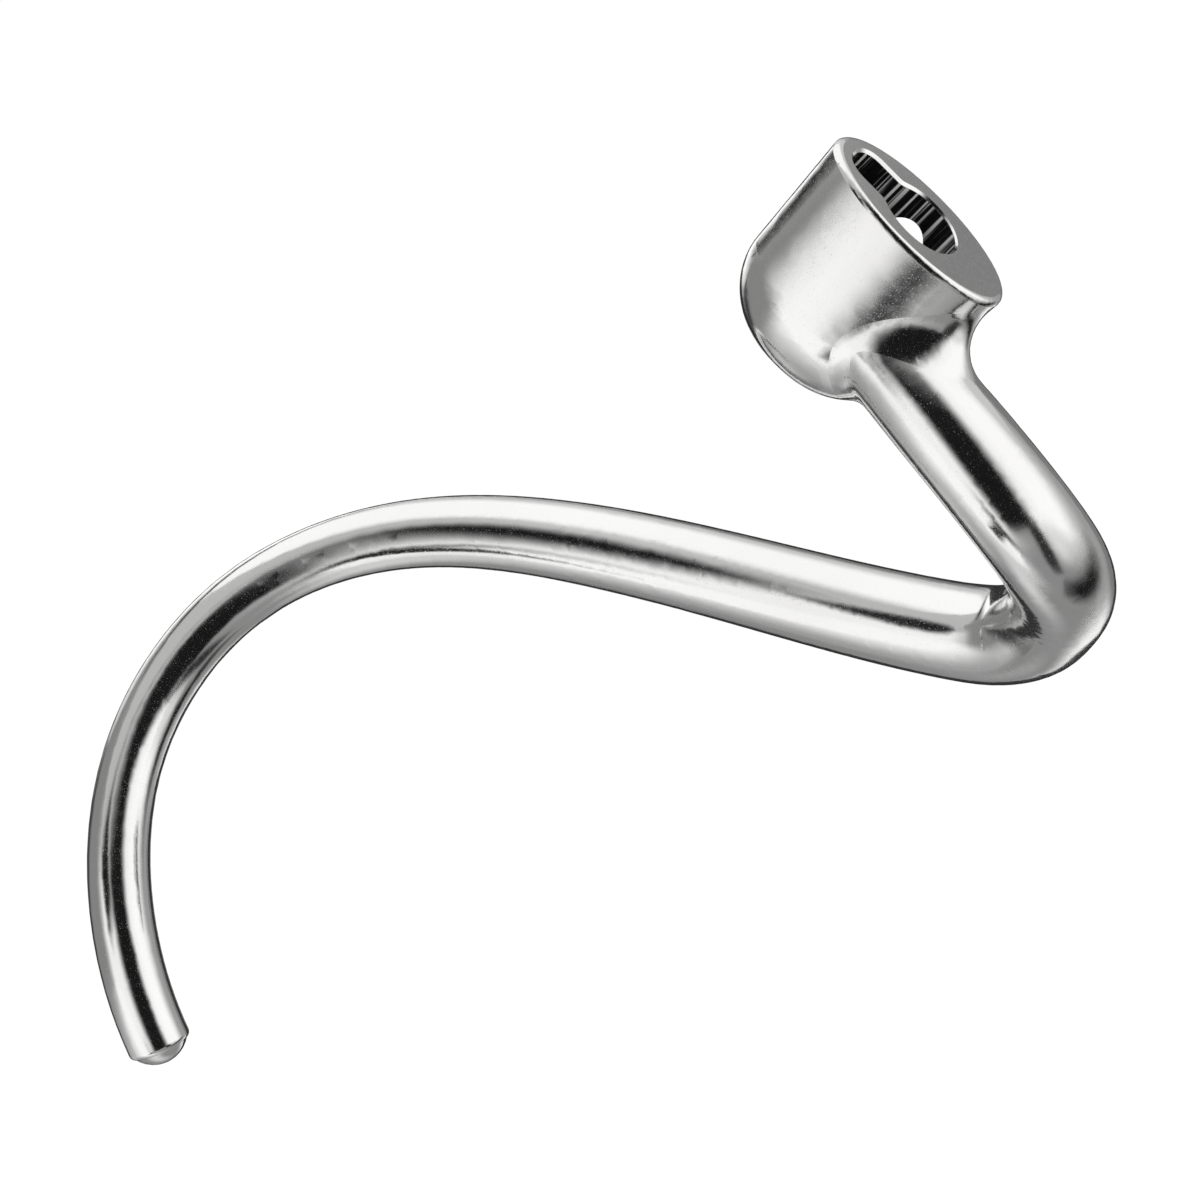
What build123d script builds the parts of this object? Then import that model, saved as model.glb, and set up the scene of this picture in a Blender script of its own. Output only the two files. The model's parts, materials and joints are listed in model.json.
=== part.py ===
"""Stand mixer dough hook: one cast and polished piece of steel.

An oval hub carries a keyhole socket for the mixer's drive shaft.  A tapered round
bar leaves the hub sideways, turns at the elbow, and winds down behind the drive
axis, round the left and forward to a domed tip.

Millimetres, +Z up.  The origin is the centre of the socket's mouth, and the drive
axis is Z.  +X is the side the arm leaves by, and +Y is the back.
"""
import math
import os

from build123d import *

# Hub
hub_width = 32.4
hub_oval = 0.6
hub_height = 31.3
hub_draft = 4.2
hub_mouth_round = 1.0
hub_base_roundness = 0.892

# Socket
bore_diameter = 12.9
bore_depth = 21.0
slot_width = 7.6
slot_wall_share = 0.6615
slot_depth = 12.0
slot_end_round = 3.2
slot_blend = 1.8
mouth_chamfer = 0.45
window_width = 6.8
window_top = 4.2
window_height = 7.6

# Bar: how far it runs to each side of the drive axis, and how far it drops
arm_drop = 18.3
arm_reach = 54.2
curl_reach = 33.3
back_reach = 26.0
front_reach = 25.4
tip_drop = 178.1

# Bar: diameters
root_diameter = 13.7
arm_diameter = 15.2
back_diameter = 13.3
curl_diameter = 9.7
tip_diameter = 10.1
tip_land_diameter = 8.8
tip_shoulder = 0.9
tip_dome_height = 2.4
neck_fillet = 7.0

# Number of sections the bar is drawn through
bar_sections = 36


def bar_path_points() -> list[tuple[float, float, float]]:
    """Places on the bar's middle line, from inside the hub to the tip."""
    fall = tip_drop - arm_drop
    return [
        (0, 0, -arm_drop),
        (0.39 * arm_reach, -0.20 * front_reach, -arm_drop + 0.007 * fall),
        (0.78 * arm_reach, -0.20 * front_reach, -arm_drop - 0.008 * fall),
        (0.94 * arm_reach, 0.14 * back_reach, -arm_drop - 0.049 * fall),
        (arm_reach, 0.50 * back_reach, -arm_drop - 0.107 * fall),
        (0.985 * arm_reach, 0.755 * back_reach, -arm_drop - 0.172 * fall),
        (0.83 * arm_reach, 0.89 * back_reach, -arm_drop - 0.237 * fall),
        (0.43 * arm_reach, back_reach, -arm_drop - 0.344 * fall),
        (-0.01 * arm_reach, 0.94 * back_reach, -arm_drop - 0.446 * fall),
        (-0.662 * curl_reach, 0.72 * back_reach, -arm_drop - 0.565 * fall),
        (-0.997 * curl_reach, 0.345 * back_reach, -arm_drop - 0.721 * fall),
        (-0.865 * curl_reach, -0.19 * front_reach, -arm_drop - 0.854 * fall),
        (-0.42 * curl_reach, -0.725 * front_reach, -arm_drop - 0.938 * fall),
        (0.206 * curl_reach, -front_reach, -tip_drop),
    ]


def bar_diameter(t: float) -> float:
    """The bar's diameter at a share t of its length, running smoothly through the named sizes."""
    places = [0.00, 0.09, 0.27, 0.50, 0.71, 1.00]
    sizes = [
        root_diameter,
        arm_diameter,
        arm_diameter,
        back_diameter,
        curl_diameter,
        tip_diameter,
    ]
    rates = [0.0] * len(places)
    for k in range(1, len(places) - 1):
        rates[k] = (sizes[k + 1] - sizes[k - 1]) / (places[k + 1] - places[k - 1])
    k = max(i for i in range(len(places) - 1) if places[i] <= t)
    span = places[k + 1] - places[k]
    s = (t - places[k]) / span
    rise = sizes[k + 1] - sizes[k]
    return (
        sizes[k]
        + rise * s * s * (3 - 2 * s)
        + span * rates[k] * s * (1 - s) ** 2
        - span * rates[k + 1] * s * s * (1 - s)
    )


with BuildPart() as dough_hook:
    # Hub: a round thimble turned about the drive axis, then squeezed to an oval
    with BuildPart(mode=Mode.PRIVATE) as hub:
        foot = hub_width / 2 - hub_height * math.tan(math.radians(hub_draft))
        with BuildSketch(Plane.XZ) as thimble:
            with BuildLine():
                Polyline(
                    (0, 0), (-hub_width / 2, 0), (-foot, -hub_height), (0, -hub_height), close=True
                )
            make_face()
            fillet(thimble.vertices().sort_by(Axis.X)[0], hub_mouth_round)
            fillet(thimble.vertices().group_by(Axis.Y)[0].sort_by(Axis.X)[0], hub_base_roundness * foot)
        revolve(axis=Axis.Z)
        scale(by=(1, hub_oval, 1))
    add(hub.part)

    # Bar: circles set square to the middle line, from inside the hub to the tip
    with BuildLine(mode=Mode.PRIVATE) as middle:
        Spline(*bar_path_points())
    path = middle.edges()[0]
    side = Vector(0, 1, 0)
    with BuildPart(mode=Mode.PRIVATE) as bar:
        for i in range(bar_sections + 1):
            t = i / bar_sections
            heading = path.tangent_at(t)
            side = (side - heading * side.dot(heading)).normalized()
            with BuildSketch(Plane(path.position_at(t), x_dir=side, z_dir=heading)):
                Circle(bar_diameter(t) / 2)
        loft()

        # Tip: a rounded shoulder, a crisp crease and a shallow dome
        tip_plane = Plane(path.position_at(1), x_dir=side, z_dir=side.cross(heading))
        tip_radius = tip_diameter / 2
        land_radius = tip_land_diameter / 2
        with BuildSketch(tip_plane):
            with BuildLine():
                TangentArc((tip_radius, 0), (land_radius, tip_shoulder), tangent=(0, 1))
                dome_top = tip_shoulder + tip_dome_height
                TangentArc((0, dome_top), (land_radius, tip_shoulder), tangent=(1, 0))
                Line((0, dome_top), (0, 0))
                Line((0, 0), (tip_radius, 0))
            make_face()
        revolve(axis=Axis(path.position_at(1), heading))
    add(bar.part)

    # Neck: a soft inside corner where the arm leaves the hub
    neck = dough_hook.edges().filter_by(
        lambda e: 0.5 < e.center().X < hub_width / 2 and -hub_height < e.center().Z < -hub_mouth_round
    )
    fillet(neck, neck_fillet)

    # Socket: a round bore with a slot on the far side from the arm for the shaft's pin
    bore_radius = bore_diameter / 2
    slot_reach = bore_radius + slot_wall_share * (hub_width / 2 - bore_radius)
    with BuildSketch() as keyhole:
        with Locations((-slot_reach / 2, 0)):
            Rectangle(slot_reach, slot_width)
        fillet(keyhole.vertices().group_by(Axis.X)[0], slot_end_round)
        Circle(bore_diameter / 2)
        fillet(keyhole.vertices().group_by(Axis.X)[-1], slot_blend)
    extrude(amount=-slot_depth, mode=Mode.SUBTRACT)
    with BuildSketch():
        Circle(bore_diameter / 2)
    extrude(amount=-bore_depth, mode=Mode.SUBTRACT)
    mouth = dough_hook.faces().sort_by(Axis.Z)[-1]
    chamfer(mouth.inner_wires()[0].edges(), mouth_chamfer)

    # Window: an arch through the back wall, where the pin's end locks
    with BuildSketch(Plane.XZ):
        with Locations((0, -window_top - window_width / 2)):
            Circle(window_width / 2)
        with Locations((0, -window_top - window_width / 2)):
            Rectangle(window_width, window_height - window_width / 2, align=(Align.CENTER, Align.MAX))
    extrude(amount=-hub_width, mode=Mode.SUBTRACT)

dough_hook.part.label = "dough_hook"
os.makedirs("parts", exist_ok=True)
export_step(dough_hook.part, "parts/dough_hook.step")
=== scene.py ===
"""Looks of the stand mixer dough hook: one cast piece of polished steel in a white studio."""
import json
import logging
import math
from dataclasses import dataclass
from enum import Enum

import bmesh
import bpy
from mathutils import Matrix, Vector

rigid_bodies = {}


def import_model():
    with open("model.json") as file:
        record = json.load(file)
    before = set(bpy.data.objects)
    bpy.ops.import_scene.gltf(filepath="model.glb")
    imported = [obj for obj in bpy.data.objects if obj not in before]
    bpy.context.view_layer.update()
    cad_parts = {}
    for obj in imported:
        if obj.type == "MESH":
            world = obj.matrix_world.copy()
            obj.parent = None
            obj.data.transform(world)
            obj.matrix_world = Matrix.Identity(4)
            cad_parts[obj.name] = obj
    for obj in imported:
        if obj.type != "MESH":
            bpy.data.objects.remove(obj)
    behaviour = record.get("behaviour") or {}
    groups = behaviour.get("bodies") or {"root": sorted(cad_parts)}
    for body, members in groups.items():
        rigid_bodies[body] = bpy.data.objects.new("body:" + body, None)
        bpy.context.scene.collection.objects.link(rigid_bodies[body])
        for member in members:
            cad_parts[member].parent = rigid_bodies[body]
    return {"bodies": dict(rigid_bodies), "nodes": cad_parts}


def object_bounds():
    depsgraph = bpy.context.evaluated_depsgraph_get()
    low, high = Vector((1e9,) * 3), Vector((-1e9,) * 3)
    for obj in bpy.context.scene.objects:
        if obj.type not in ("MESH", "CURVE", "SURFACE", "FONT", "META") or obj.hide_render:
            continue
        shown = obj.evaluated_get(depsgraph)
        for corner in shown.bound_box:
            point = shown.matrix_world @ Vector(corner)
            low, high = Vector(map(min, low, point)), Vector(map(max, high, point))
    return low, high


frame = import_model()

CAD_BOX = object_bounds()
LOG = logging.getLogger("dough_hook")
MM = 0.001


class Socket(Enum):
    """Kinds of value that a node group takes in or gives out."""

    VALUE = "NodeSocketFloat"
    VECTOR = "NodeSocketVector"


@dataclass
class NodeSheet:
    """A node tree with short ways to add and join its nodes.

    Attributes:
        tree: The node tree that is written on.
    """

    tree: bpy.types.NodeTree

    def add(self, kind: str, **settings: object) -> bpy.types.Node:
        """Adds one node.

        Args:
            kind: The node's type name.
            **settings: Properties to set on it.

        Returns:
            The new node.
        """
        node = self.tree.nodes.new(kind)
        for name, value in settings.items():
            setattr(node, name, value)
        return node

    def feed(self, socket: bpy.types.NodeSocket, source: object) -> None:
        """Joins an output to an input, or sets the input to a plain value.

        Args:
            socket: The input.
            source: An output socket, a number or a tuple.
        """
        if isinstance(source, bpy.types.NodeSocket):
            self.tree.links.new(source, socket)
        else:
            socket.default_value = source

    def math(self, operation: str, *values: object) -> bpy.types.NodeSocket:
        """Adds a Math node.

        Args:
            operation: The operation's name.
            *values: Sockets or numbers for its inputs, in order.

        Returns:
            The result's socket.
        """
        node = self.add("ShaderNodeMath", operation=operation)
        for socket, value in zip(node.inputs, values):
            self.feed(socket, value)
        return node.outputs[0]

    def ramp(self, value: object, low: object, high: object) -> bpy.types.NodeSocket:
        """Maps a value smoothly from a range to 0 to 1 and clamps it.

        Args:
            value: The value that is read.
            low: Where 0 comes out.
            high: Where 1 comes out.

        Returns:
            The mapped value's socket.
        """
        node = self.add("ShaderNodeMapRange", interpolation_type="SMOOTHSTEP")
        for socket, item in zip(node.inputs, (value, low, high)):
            self.feed(socket, item)
        return node.outputs["Result"]

    def noise(
        self, coords: object, stretch: tuple[float, float, float], detail: float
    ) -> bpy.types.NodeSocket:
        """Adds a noise pattern on stretched coordinates.

        Args:
            coords: The coordinates' socket, in metres.
            stretch: Pattern cells per metre along each axis.
            detail: Octaves of finer noise.

        Returns:
            The noise value's socket.
        """
        mapping = self.add("ShaderNodeMapping", vector_type="POINT")
        self.feed(mapping.inputs["Vector"], coords)
        mapping.inputs["Scale"].default_value = stretch
        node = self.add("ShaderNodeTexNoise", noise_dimensions="3D")
        self.feed(node.inputs["Vector"], mapping.outputs["Vector"])
        node.inputs["Scale"].default_value = 1.0
        node.inputs["Detail"].default_value = detail
        return node.outputs["Fac"]

    def tint(self, factor: object, first: object, second: object) -> bpy.types.NodeSocket:
        """Mixes two colours.

        Args:
            factor: How much of the second colour shows.
            first: A colour or a colour socket.
            second: A colour or a colour socket.

        Returns:
            The mixed colour's socket.
        """
        node = self.add("ShaderNodeMix", data_type="RGBA")
        self.feed(node.inputs[0], factor)
        self.feed(node.inputs[6], first)
        self.feed(node.inputs[7], second)
        return node.outputs[2]


def new_material(name: str) -> tuple[bpy.types.Material, NodeSheet, bpy.types.Node]:
    """Makes an empty node material.

    Args:
        name: The material's name.

    Returns:
        The material, its node sheet and its output node.
    """
    material = bpy.data.materials.new(name)
    material.use_nodes = True
    material.node_tree.nodes.clear()
    sheet = NodeSheet(material.node_tree)
    return material, sheet, sheet.add("ShaderNodeOutputMaterial")


def new_group(
    name: str, takes: dict[str, Socket], gives: dict[str, Socket]
) -> tuple[NodeSheet, bpy.types.Node, bpy.types.Node]:
    """Makes an empty shader node group with named sockets.

    Args:
        name: The group's name.
        takes: Names and kinds of its inputs.
        gives: Names and kinds of its outputs.

    Returns:
        The group's node sheet, its input node and its output node.
    """
    tree = bpy.data.node_groups.new(name, "ShaderNodeTree")
    for label, kind in takes.items():
        tree.interface.new_socket(name=label, in_out="INPUT", socket_type=kind.value)
    for label, kind in gives.items():
        tree.interface.new_socket(name=label, in_out="OUTPUT", socket_type=kind.value)
    sheet = NodeSheet(tree)
    return sheet, sheet.add("NodeGroupInput"), sheet.add("NodeGroupOutput")


@dataclass(frozen=True)
class PolishedSteel:
    """Polished cast steel, with painted shade inside the socket and painted highlights along its
    draw marks.

    Attributes:
        colour: The bare metal's colour.
        warm_colour: Its slightly warmer patches.
        socket_painted_shading: Painted shade on the socket's wall, near black.
        painted_streak_highlight: Painted highlight along the draw marks down the socket's wall.
        roughness: How soft the polish leaves reflections.
        haze: Extra roughness in the hazier patches.
        pits: Extra roughness in the tiny pits that the polish leaves.
        socket_roughness: Roughness of the socket's wall.
        grain: Height of the polishing grain, in metres.
        grain_strength: How strongly the grain shows.
        draw_height: Height of the draw marks, in grains.
        patch_scale: Warm patches per metre.
        polish_scale: Polishing marks per metre.
        speckle_scale: Pits per metre.
        draw_scale: Draw marks per metre, across the socket and along it.
        socket_start: Depths at which the socket's painted shade starts and is full, in metres.
        bore_radius: Radius inside which the socket's bore lies, in metres.
        slot_half_width: Half the width of the socket's slot, in metres.
        slot_reach: How far the slot reaches from the drive axis, in metres.
        socket_depth: Depth of the socket's floor, in metres.
    """

    colour: tuple[float, float, float, float] = (0.86, 0.86, 0.855, 1.0)
    warm_colour: tuple[float, float, float, float] = (0.835, 0.83, 0.822, 1.0)
    # Near black: painted shade on the socket's wall, which lies in shade inside the bore.
    socket_painted_shading: tuple[float, float, float, float] = (0.05, 0.05, 0.05, 1.0)
    # Near white: painted highlight on the draw marks, whose relief itself comes from the bump.
    painted_streak_highlight: tuple[float, float, float, float] = (0.95, 0.95, 0.94, 1.0)
    roughness: float = 0.1
    haze: float = 0.04
    pits: float = 0.24
    socket_roughness: float = 0.42
    grain: float = 0.000004
    grain_strength: float = 0.35
    draw_height: float = 14.0
    patch_scale: float = 38.0
    polish_scale: float = 900.0
    speckle_scale: float = 5200.0
    draw_scale: tuple[float, float, float] = (1500.0, 1500.0, 28.0)
    socket_start: tuple[float, float] = (0.35 * MM, 0.55 * MM)
    bore_radius: float = 6.7 * MM
    slot_half_width: float = 4.0 * MM
    slot_reach: float = 13.2 * MM
    socket_depth: float = 21.3 * MM

    def socket_mask(self, sheet: NodeSheet, coords: bpy.types.NodeSocket) -> bpy.types.NodeSocket:
        """Marks the walls and floor of the keyhole socket.

        Args:
            sheet: The material's node sheet.
            coords: Object coordinates, in metres.

        Returns:
            A mask, 1 inside the socket.
        """
        split = sheet.add("ShaderNodeSeparateXYZ")
        sheet.feed(split.inputs[0], coords)
        x, y, z = split.outputs[0], split.outputs[1], split.outputs[2]
        flat = sheet.add("ShaderNodeCombineXYZ")
        sheet.feed(flat.inputs[0], x)
        sheet.feed(flat.inputs[1], y)
        reach = sheet.add("ShaderNodeVectorMath", operation="LENGTH")
        sheet.feed(reach.inputs[0], flat.outputs[0])
        in_bore = sheet.math("LESS_THAN", reach.outputs["Value"], self.bore_radius)
        in_slot = sheet.math("LESS_THAN", sheet.math("ABSOLUTE", y), self.slot_half_width)
        in_slot = sheet.math("MULTIPLY", in_slot, sheet.math("GREATER_THAN", x, -self.slot_reach))
        in_slot = sheet.math("MULTIPLY", in_slot, sheet.math("LESS_THAN", x, 0.0))
        across = sheet.math("MAXIMUM", in_bore, in_slot)
        below = sheet.ramp(z, *[-depth for depth in self.socket_start])
        above = sheet.math("GREATER_THAN", z, -self.socket_depth)
        return sheet.math("MULTIPLY", across, sheet.math("MULTIPLY", below, above))

    def material(self) -> bpy.types.Material:
        """Builds the steel.

        Returns:
            The material.
        """
        material, sheet, output = new_material("polished_steel_looks")
        coords = sheet.add("ShaderNodeTexCoord").outputs["Object"]
        shader = sheet.add("ShaderNodeBsdfPrincipled")
        sheet.feed(output.inputs["Surface"], shader.outputs["BSDF"])

        patches = sheet.ramp(sheet.noise(coords, (self.patch_scale,) * 3, 3.0), 0.35, 0.7)
        speckle = sheet.noise(coords, (self.speckle_scale,) * 3, 1.0)
        polish = sheet.noise(coords, (self.polish_scale,) * 3, 3.0)
        inside = self.socket_mask(sheet, coords)
        draw = sheet.noise(coords, self.draw_scale, 2.0)
        streaks = sheet.ramp(draw, 0.50, 0.64)

        outer_colour = sheet.tint(patches, self.colour, self.warm_colour)
        # Inside the socket the colour is painted shade, with painted highlights along the draw
        # marks.
        socket_painted_shading = sheet.tint(streaks, self.socket_painted_shading, self.painted_streak_highlight)
        sheet.feed(shader.inputs["Base Color"], sheet.tint(inside, outer_colour, socket_painted_shading))

        # The painted highlight streaks lose their metal, so that they catch the light from the
        # mouth as bright lines.
        painted_highlight_streaks = sheet.math("MULTIPLY", inside, streaks)
        sheet.feed(shader.inputs["Metallic"], sheet.math("SUBTRACT", 1.0, painted_highlight_streaks))

        haze = sheet.math("MULTIPLY", sheet.ramp(polish, 0.4, 0.75), self.haze)
        pits = sheet.math("MULTIPLY", sheet.ramp(speckle, 0.60, 0.78), self.pits)
        outer_roughness = sheet.math("ADD", self.roughness, sheet.math("ADD", haze, pits))
        roughness = sheet.add("ShaderNodeMix", data_type="FLOAT")
        sheet.feed(roughness.inputs[0], inside)
        sheet.feed(roughness.inputs[2], outer_roughness)
        sheet.feed(roughness.inputs[3], self.socket_roughness)
        sheet.feed(shader.inputs["Roughness"], roughness.outputs[0])

        height = sheet.math("ADD", sheet.math("MULTIPLY", speckle, 0.5), polish)
        drawn = sheet.math("MULTIPLY", sheet.math("MULTIPLY", draw, inside), self.draw_height)
        relief = sheet.math("ADD", height, drawn)
        bump = sheet.add("ShaderNodeBump")
        bump.inputs["Strength"].default_value = self.grain_strength
        bump.inputs["Distance"].default_value = self.grain
        sheet.feed(bump.inputs["Height"], relief)
        sheet.feed(shader.inputs["Normal"], bump.outputs["Normal"])
        return material


@dataclass
class DoughHook:
    """The hook itself, which is one CAD node.

    Attributes:
        node: The node's name.
        finish: The steel it is dressed in.
    """

    node: str = "dough_hook"
    finish: PolishedSteel = PolishedSteel()

    def dress(self) -> None:
        """Puts the steel on the hook's slots."""
        hook = frame["nodes"][self.node]
        steel = self.finish.material()
        for slot in hook.material_slots:
            slot.material = steel
        LOG.info("dressed %s, %d triangles", self.node, len(hook.data.polygons))


@dataclass
class Viewpoint:
    """The camera, set by where the hook's parts lie in a square picture of 1200 pixels.

    Attributes:
        distance: From the camera to the socket's mouth, along the camera's axis, in metres.
        elevation: How far the camera looks down on the mouth, in degrees.
        pixel: Width of a pixel at the mouth, in metres.
        mouth_x: The mouth's centre, in pixels from the left.
        mouth_y: The mouth's centre, in pixels from the top.
        roll: How far the drive axis leans to the right in the picture, in degrees.
        picture: The picture's side, in pixels.
        sensor: The sensor's width, in millimetres.
        clip: The nearest and farthest that the camera sees, in metres.
    """

    distance: float = 0.6620692
    elevation: float = 24.5194
    pixel: float = 0.0001401
    mouth_x: float = 921.9245
    mouth_y: float = 217.9636
    roll: float = 45.0063
    picture: float = 1200.0
    sensor: float = 36.0
    clip: tuple[float, float] = (0.01, 50.0)

    def pose(self) -> Matrix:
        """Works out the camera's place from the mouth's place in the picture.

        Returns:
            The camera's matrix in the hook's frame.
        """
        focal = self.distance / self.pixel
        off_x = self.mouth_x - self.picture / 2
        off_y = self.mouth_y - self.picture / 2
        ray = Vector((off_x, off_y, focal)).normalized()
        lean = math.radians(self.roll)
        upward = Vector((math.cos(lean), -math.sin(lean), 0.0))
        upward = (upward - ray * upward.dot(ray)).normalized()
        tilt = math.radians(self.elevation)
        axis_z = upward * math.cos(tilt) - ray * math.sin(tilt)
        axis_x = Vector((math.sin(lean), math.cos(lean), 0.0))
        axis_x = (axis_x - axis_z * axis_x.dot(axis_z)).normalized()
        axis_y = axis_z.cross(axis_x)
        turn = Matrix((axis_x, axis_y, axis_z))
        mouth = Vector((off_x * self.pixel, off_y * self.pixel, self.distance))
        place = -(turn @ mouth)
        right, down, forward = turn.col
        pose = Matrix((right, -down, -forward)).transposed().to_4x4()
        pose.translation = place
        return pose

    def build(self) -> bpy.types.Object:
        """Makes the camera and makes it the scene's own.

        Returns:
            The camera.
        """
        data = bpy.data.cameras.new("viewpoint")
        data.sensor_width = self.sensor
        data.lens = self.sensor * self.distance / self.pixel / self.picture
        data.clip_start, data.clip_end = self.clip
        camera = bpy.data.objects.new("viewpoint", data)
        bpy.context.scene.collection.objects.link(camera)
        camera.matrix_world = self.pose()
        bpy.context.scene.camera = camera
        place = [round(along, 4) for along in camera.matrix_world.translation]
        LOG.info("camera at %s, lens %.1f mm", place, data.lens)
        return camera


@dataclass(frozen=True)
class Card:
    """A flat studio card with soft edges that only the polished steel sees.

    Attributes:
        name: The card's name.
        aim: Its direction from the hook, in degrees right of the lens and below it.
        spread: Half its width and half its height, in degrees as the hook sees them.
        tone: How bright it is, where 1 is the white room.
        fade: Share of each half side over which its edge fades.
        spin: Turn about its own facing direction, in degrees.
    """

    name: str
    aim: tuple[float, float]
    spread: tuple[float, float]
    tone: float
    fade: float
    spin: float

    def stand(self, lens: Matrix, distance: float) -> Matrix:
        """Works out where the card stands.

        Args:
            lens: The camera's turn, moved to the hook's middle.
            distance: How far the card stands from the hook, in metres.

        Returns:
            The matrix that carries a flat square of side 2 onto the card.
        """
        off = math.radians(math.hypot(*self.aim))
        around = math.atan2(-self.aim[1], self.aim[0])
        across_x, across_y = math.cos(around), math.sin(around)
        outward = Vector((math.sin(off) * across_x, math.sin(off) * across_y, math.cos(off)))
        upright = Vector((math.cos(off) * across_x, math.cos(off) * across_y, -math.sin(off)))
        across = upright.cross(-outward)
        turn = Matrix((across, upright, -outward)).transposed().to_4x4()
        turn = turn @ Matrix.Rotation(math.radians(self.spin), 4, "Z")
        half = [distance * math.tan(math.radians(angle)) for angle in self.spread]
        sized = turn @ Matrix.Diagonal((*half, 1.0, 1.0))
        return lens @ Matrix.Translation(outward * distance) @ sized

    def build(self, lens: Matrix, distance: float, finish: bpy.types.Material) -> bpy.types.Object:
        """Makes the card, facing the hook.

        Args:
            lens: The camera's turn, moved to the hook's middle.
            distance: How far the card stands from the hook, in metres.
            finish: The card's material.

        Returns:
            The card.
        """
        mesh = bpy.data.meshes.new(self.name)
        bm = bmesh.new()
        bm.loops.layers.uv.new("card")
        bmesh.ops.create_grid(
            bm,
            x_segments=1,
            y_segments=1,
            size=1.0,
            matrix=self.stand(lens, distance),
            calc_uvs=True,
        )
        bm.to_mesh(mesh)
        bm.free()
        return set_up_card(mesh, finish)


@dataclass(frozen=True)
class EdgeRing:
    """A dark ring behind the hook, which draws a thin dark line inside its outline.

    Attributes:
        name: The ring's name.
        inner: Angle of its inner edge from the line of sight, in degrees.
        outer: Angle of its outer edge from the line of sight, in degrees.
        tone: How bright it is.
        steps: Number of flat sides round it.
    """

    name: str = "edge_ring"
    inner: float = 9.0
    outer: float = 34.0
    tone: float = 0.03
    steps: int = 96

    def build(self, lens: Matrix, distance: float, finish: bpy.types.Material) -> bpy.types.Object:
        """Spins the ring round the line of sight.

        Args:
            lens: The camera's turn, moved to the hook's middle.
            distance: How far the ring stands behind the hook, in metres.
            finish: The ring's material.

        Returns:
            The ring.
        """
        mesh = bpy.data.meshes.new(self.name)
        bm = bmesh.new()
        radii = [distance * math.tan(math.radians(angle)) for angle in (self.inner, self.outer)]
        ends = [bm.verts.new((radius, 0.0, -distance)) for radius in radii]
        rim = bm.edges.new(ends)
        bmesh.ops.spin(
            bm,
            geom=[*ends, rim],
            cent=(0, 0, 0),
            axis=(0, 0, 1),
            angle=math.tau,
            steps=self.steps,
            use_merge=True,
        )
        bmesh.ops.recalc_face_normals(bm, faces=bm.faces)
        bmesh.ops.transform(bm, matrix=lens, verts=bm.verts)
        bm.to_mesh(mesh)
        bm.free()
        return set_up_card(mesh, finish)


def set_up_card(mesh: bpy.types.Mesh, finish: bpy.types.Material) -> bpy.types.Object:
    """Puts a card into the scene so that only reflections show it.

    Args:
        mesh: The card's mesh.
        finish: The card's material.

    Returns:
        The card.
    """
    card = bpy.data.objects.new(mesh.name, mesh)
    bpy.context.scene.collection.objects.link(card)
    mesh.materials.append(finish)
    card.visible_camera = False
    card.visible_diffuse = False
    card.visible_shadow = False
    return card


def seen_white(sheet: NodeSheet) -> bpy.types.NodeSocket:
    """Tells the rays to which the room shows its plain white.

    Args:
        sheet: The node sheet of the floor or the world.

    Returns:
        A value, 1 for what the camera sees, mirrored or not, and 0 for the light itself.
    """
    path = sheet.add("ShaderNodeLightPath")
    seen = sheet.math("MAXIMUM", path.outputs["Is Camera Ray"], path.outputs["Is Glossy Ray"])
    return sheet.math("MAXIMUM", seen, path.outputs["Is Transmission Ray"])


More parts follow.
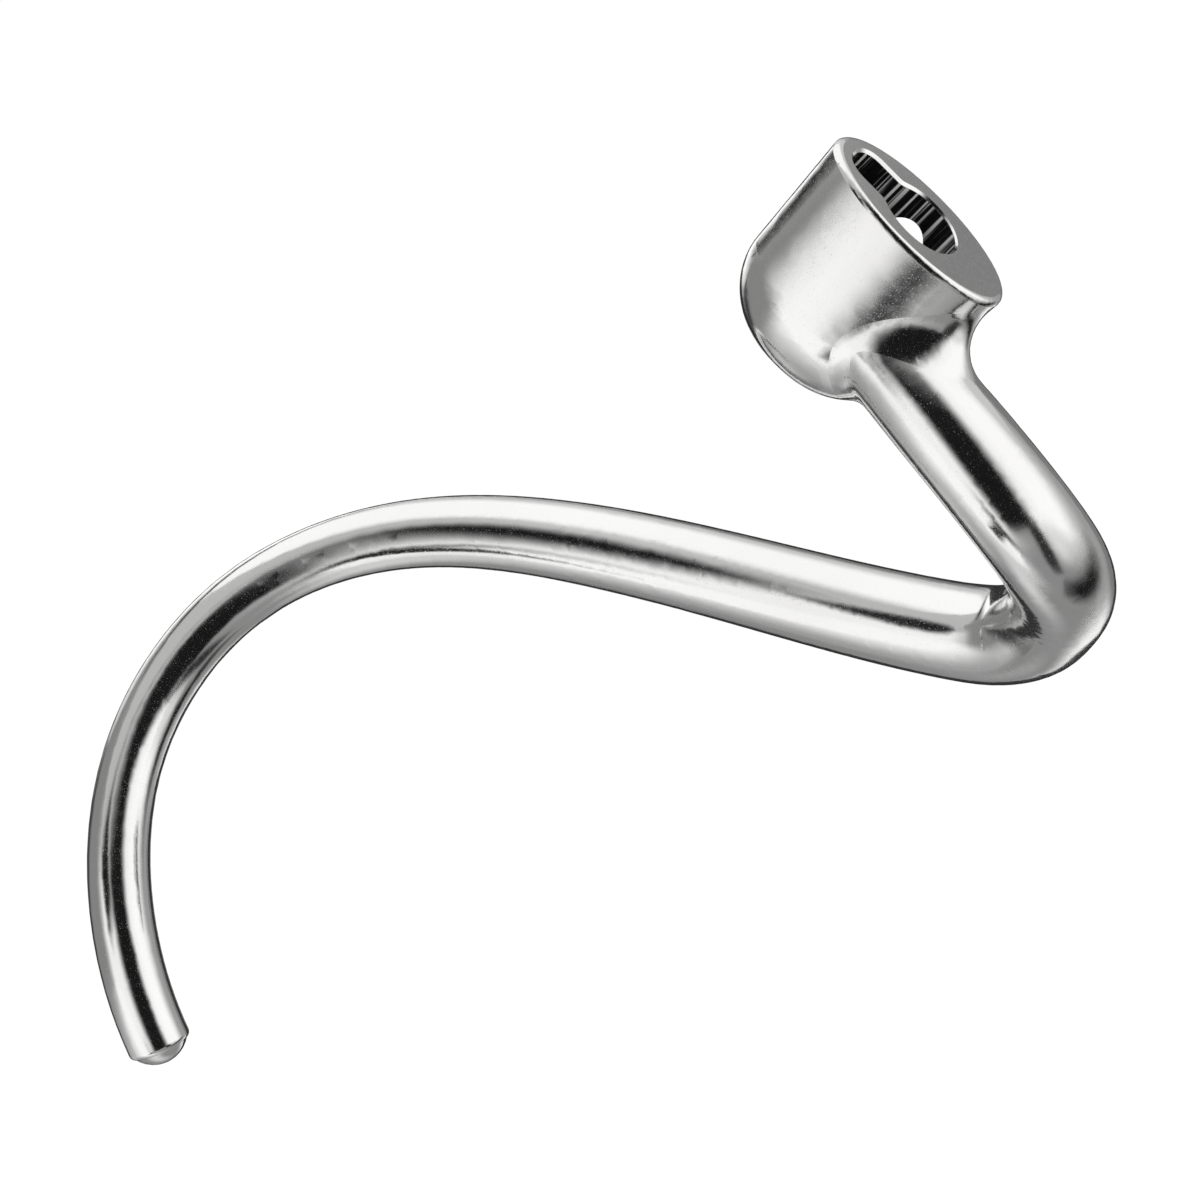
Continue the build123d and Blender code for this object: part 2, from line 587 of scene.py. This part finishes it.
@dataclass
class Studio:
    """The white floor, the soft light and the cards round the hook.

    Attributes:
        floor_reach: Half the floor's side, in metres.
        floor_drop: Gap between the hook's lowest point and the floor, in metres.
        floor_matte: How pale the floor's matte paint is.
        floor_glow: How much of its white the floor shows as background.
        daylight: Strength of the light from all round.
        card_distance: How far the farthest card stands from the hook, in metres.
        card_gap: How much nearer each next card stands, in metres.
        ring: The dark ring behind the hook.
        cards: The cards round the hook, the farthest first.
    """

    floor_reach: float = 9.0
    floor_drop: float = 0.8
    floor_matte: float = 0.4
    floor_glow: float = 0.72
    daylight: float = 0.75
    card_distance: float = 0.59
    card_gap: float = 0.01
    ring: EdgeRing = EdgeRing()
    cards: tuple[Card, ...] = (
        Card("upper_right_wall", (92, -67), (61.3, 58.9), 0.65, 0.44, 50),
        Card("upper_left_wall", (-58, -69), (46.1, 55.0), 0.54, 0.41, 3),
        Card("low_left_softbox", (-34, 62), (46.2, 14.6), 1.09, 0.43, 15),
        Card("low_back_panel", (-33, 109), (62.0, 41.8), 0.36, 1.00, 6),
        Card("right_softbox", (56, -24), (35.7, 60.2), 1.13, 0.79, -94),
        Card("top_left_softbox", (-40, -83), (49.2, 42.9), 1.10, 0.57, 31),
        Card("lens_shade", (-2, 6), (37.8, 52.7), 0.01, 0.61, -42),
        Card("left_flag", (-52, -10), (17.1, 14.6), 0.01, 0.62, 46),
        Card("low_strip", (-18, 54), (8.2, 29.8), 0.01, 0.98, -59),
        Card("right_back_panel", (117, -17), (61.5, 29.0), 0.36, 0.89, 0),
        Card("left_back_panel", (-120, -1), (39.0, 56.5), 0.26, 0.61, -2),
        Card("low_back_flag", (26, 121), (43.8, 30.8), 0.27, 0.61, -42),
        Card("top_back_strip", (-84, -98), (49.2, 5.6), 0.01, 0.83, -48),
        Card("mouth_panel", (115, -96), (40.6, 36.3), 0.21, 0.46, 59),
        Card("right_low_panel", (54, 64), (46.2, 62.0), 0.28, 0.77, -33),
        Card("left_back_strip", (-131, 46), (50.0, 15.0), 0.04, 0.91, 18),
        Card("top_back_softbox", (-103, -103), (42.7, 19.0), 1.35, 1.00, -35),
        Card("elbow_flag", (39, 40), (11.6, 34.1), 0.03, 0.72, 18),
        Card("elbow_fill", (60, 24), (23.1, 18.3), 0.81, 1.00, -51),
        Card("right_low_strip", (87, 50), (43.7, 16.8), 0.01, 0.86, 18),
        Card("low_fill", (-12, 104), (39.9, 18.9), 0.72, 1.00, 64),
        Card("hub_streak_flag", (-25, 60), (8.0, 12.0), 0.01, 0.55, 17),
    )

    def soft_edge(self) -> bpy.types.NodeTree:
        """Makes the group that fades a card out towards its edges.

        Returns:
            The node group.
        """
        sheet, taken, given = new_group(
            "soft_edge", {"Card": Socket.VECTOR, "Fade": Socket.VALUE}, {"Mask": Socket.VALUE}
        )
        split = sheet.add("ShaderNodeSeparateXYZ")
        sheet.feed(split.inputs[0], taken.outputs["Card"])
        sides = []
        for along in split.outputs[:2]:
            centred = sheet.math("SUBTRACT", sheet.math("MULTIPLY", along, 2.0), 1.0)
            to_edge = sheet.math("SUBTRACT", 1.0, sheet.math("ABSOLUTE", centred))
            sides.append(sheet.ramp(to_edge, 0.0, taken.outputs["Fade"]))
        sheet.feed(given.inputs["Mask"], sheet.math("MULTIPLY", *sides))
        return sheet.tree

    def card_finish(self, card: Card, soft_edge: bpy.types.NodeTree) -> bpy.types.Material:
        """Makes a card's material, clear at its edges.

        Args:
            card: The card.
            soft_edge: The group that fades its edges.

        Returns:
            The material.
        """
        material, sheet, output = new_material(card.name)
        group = sheet.add("ShaderNodeGroup", node_tree=soft_edge)
        sheet.feed(group.inputs["Card"], sheet.add("ShaderNodeTexCoord").outputs["UV"])
        group.inputs["Fade"].default_value = card.fade
        glow = sheet.add("ShaderNodeEmission")
        glow.inputs["Strength"].default_value = card.tone
        mix = sheet.add("ShaderNodeMixShader")
        sheet.feed(mix.inputs[0], group.outputs["Mask"])
        sheet.feed(mix.inputs[1], sheet.add("ShaderNodeBsdfTransparent").outputs[0])
        sheet.feed(mix.inputs[2], glow.outputs[0])
        sheet.feed(output.inputs["Surface"], mix.outputs[0])
        return material

    def ring_finish(self) -> bpy.types.Material:
        """Makes the ring's even dark material.

        Returns:
            The material.
        """
        material, sheet, output = new_material(self.ring.name)
        glow = sheet.add("ShaderNodeEmission")
        glow.inputs["Strength"].default_value = self.ring.tone
        sheet.feed(output.inputs["Surface"], glow.outputs[0])
        return material

    def lay_floor(self) -> bpy.types.Object:
        """Lays the white floor under the hook.

        Returns:
            The floor.
        """
        level = Matrix.Translation((0.0, 0.0, CAD_BOX[0].z - self.floor_drop))
        mesh = bpy.data.meshes.new("white_floor")
        bm = bmesh.new()
        bmesh.ops.create_grid(bm, x_segments=1, y_segments=1, size=self.floor_reach, matrix=level)
        bm.to_mesh(mesh)
        bm.free()
        floor = bpy.data.objects.new("white_floor", mesh)
        bpy.context.scene.collection.objects.link(floor)
        material, sheet, output = new_material("white_floor")
        seen = seen_white(sheet)
        matte = sheet.add("ShaderNodeBsdfDiffuse")
        matte.inputs["Color"].default_value = (*[self.floor_matte] * 3, 1.0)
        glow = sheet.add("ShaderNodeEmission")
        sheet.feed(glow.inputs["Strength"], sheet.math("MULTIPLY", seen, self.floor_glow))
        both = sheet.add("ShaderNodeAddShader")
        sheet.feed(both.inputs[0], matte.outputs[0])
        sheet.feed(both.inputs[1], glow.outputs[0])
        sheet.feed(output.inputs["Surface"], both.outputs[0])
        mesh.materials.append(material)
        return floor

    def light(self) -> None:
        """Fills the room with even white light, and shows it white behind the hook."""
        world = bpy.data.worlds.new("soft_room")
        world.use_nodes = True
        world.node_tree.nodes.clear()
        sheet = NodeSheet(world.node_tree)
        output = sheet.add("ShaderNodeOutputWorld")
        back = sheet.add("ShaderNodeBackground")
        back.inputs["Color"].default_value = (1.0, 1.0, 1.0, 1.0)
        seen = seen_white(sheet)
        rest = sheet.math("MULTIPLY", sheet.math("SUBTRACT", 1.0, seen), self.daylight)
        sheet.feed(back.inputs["Strength"], sheet.math("ADD", rest, seen))
        sheet.feed(output.inputs["Surface"], back.outputs[0])
        bpy.context.scene.world = world

    def build(self, camera: bpy.types.Object) -> None:
        """Sets up the floor, the light, the ring and the cards.

        Args:
            camera: The scene's camera, which the cards stand round.
        """
        self.lay_floor()
        self.light()
        centre = (CAD_BOX[0] + CAD_BOX[1]) / 2
        lens = Matrix.Translation(centre) @ camera.matrix_world.to_3x3().to_4x4()
        soft_edge = self.soft_edge()
        for count, card in enumerate(self.cards):
            distance = self.card_distance - self.card_gap * count
            card.build(lens, distance, self.card_finish(card, soft_edge))
        nearest = self.card_distance - self.card_gap * len(self.cards)
        self.ring.build(lens, nearest, self.ring_finish())
        LOG.info("studio with %d cards and a ring", len(self.cards))


def clear_scene() -> None:
    """Removes what a new file starts with, and keeps the hook."""
    kept = set(frame["nodes"].values()) | set(frame["bodies"].values())
    for thing in list(bpy.data.objects):
        if thing not in kept:
            bpy.data.objects.remove(thing)


def main() -> None:
    """Dresses the hook and sets up the camera and the studio."""
    logging.basicConfig(level=logging.INFO, format="%(name)s: %(message)s")
    clear_scene()
    bpy.context.scene.view_settings.view_transform = "Standard"
    DoughHook().dress()
    camera = Viewpoint().build()
    Studio().build(camera)


if __name__ == "__main__":
    main()
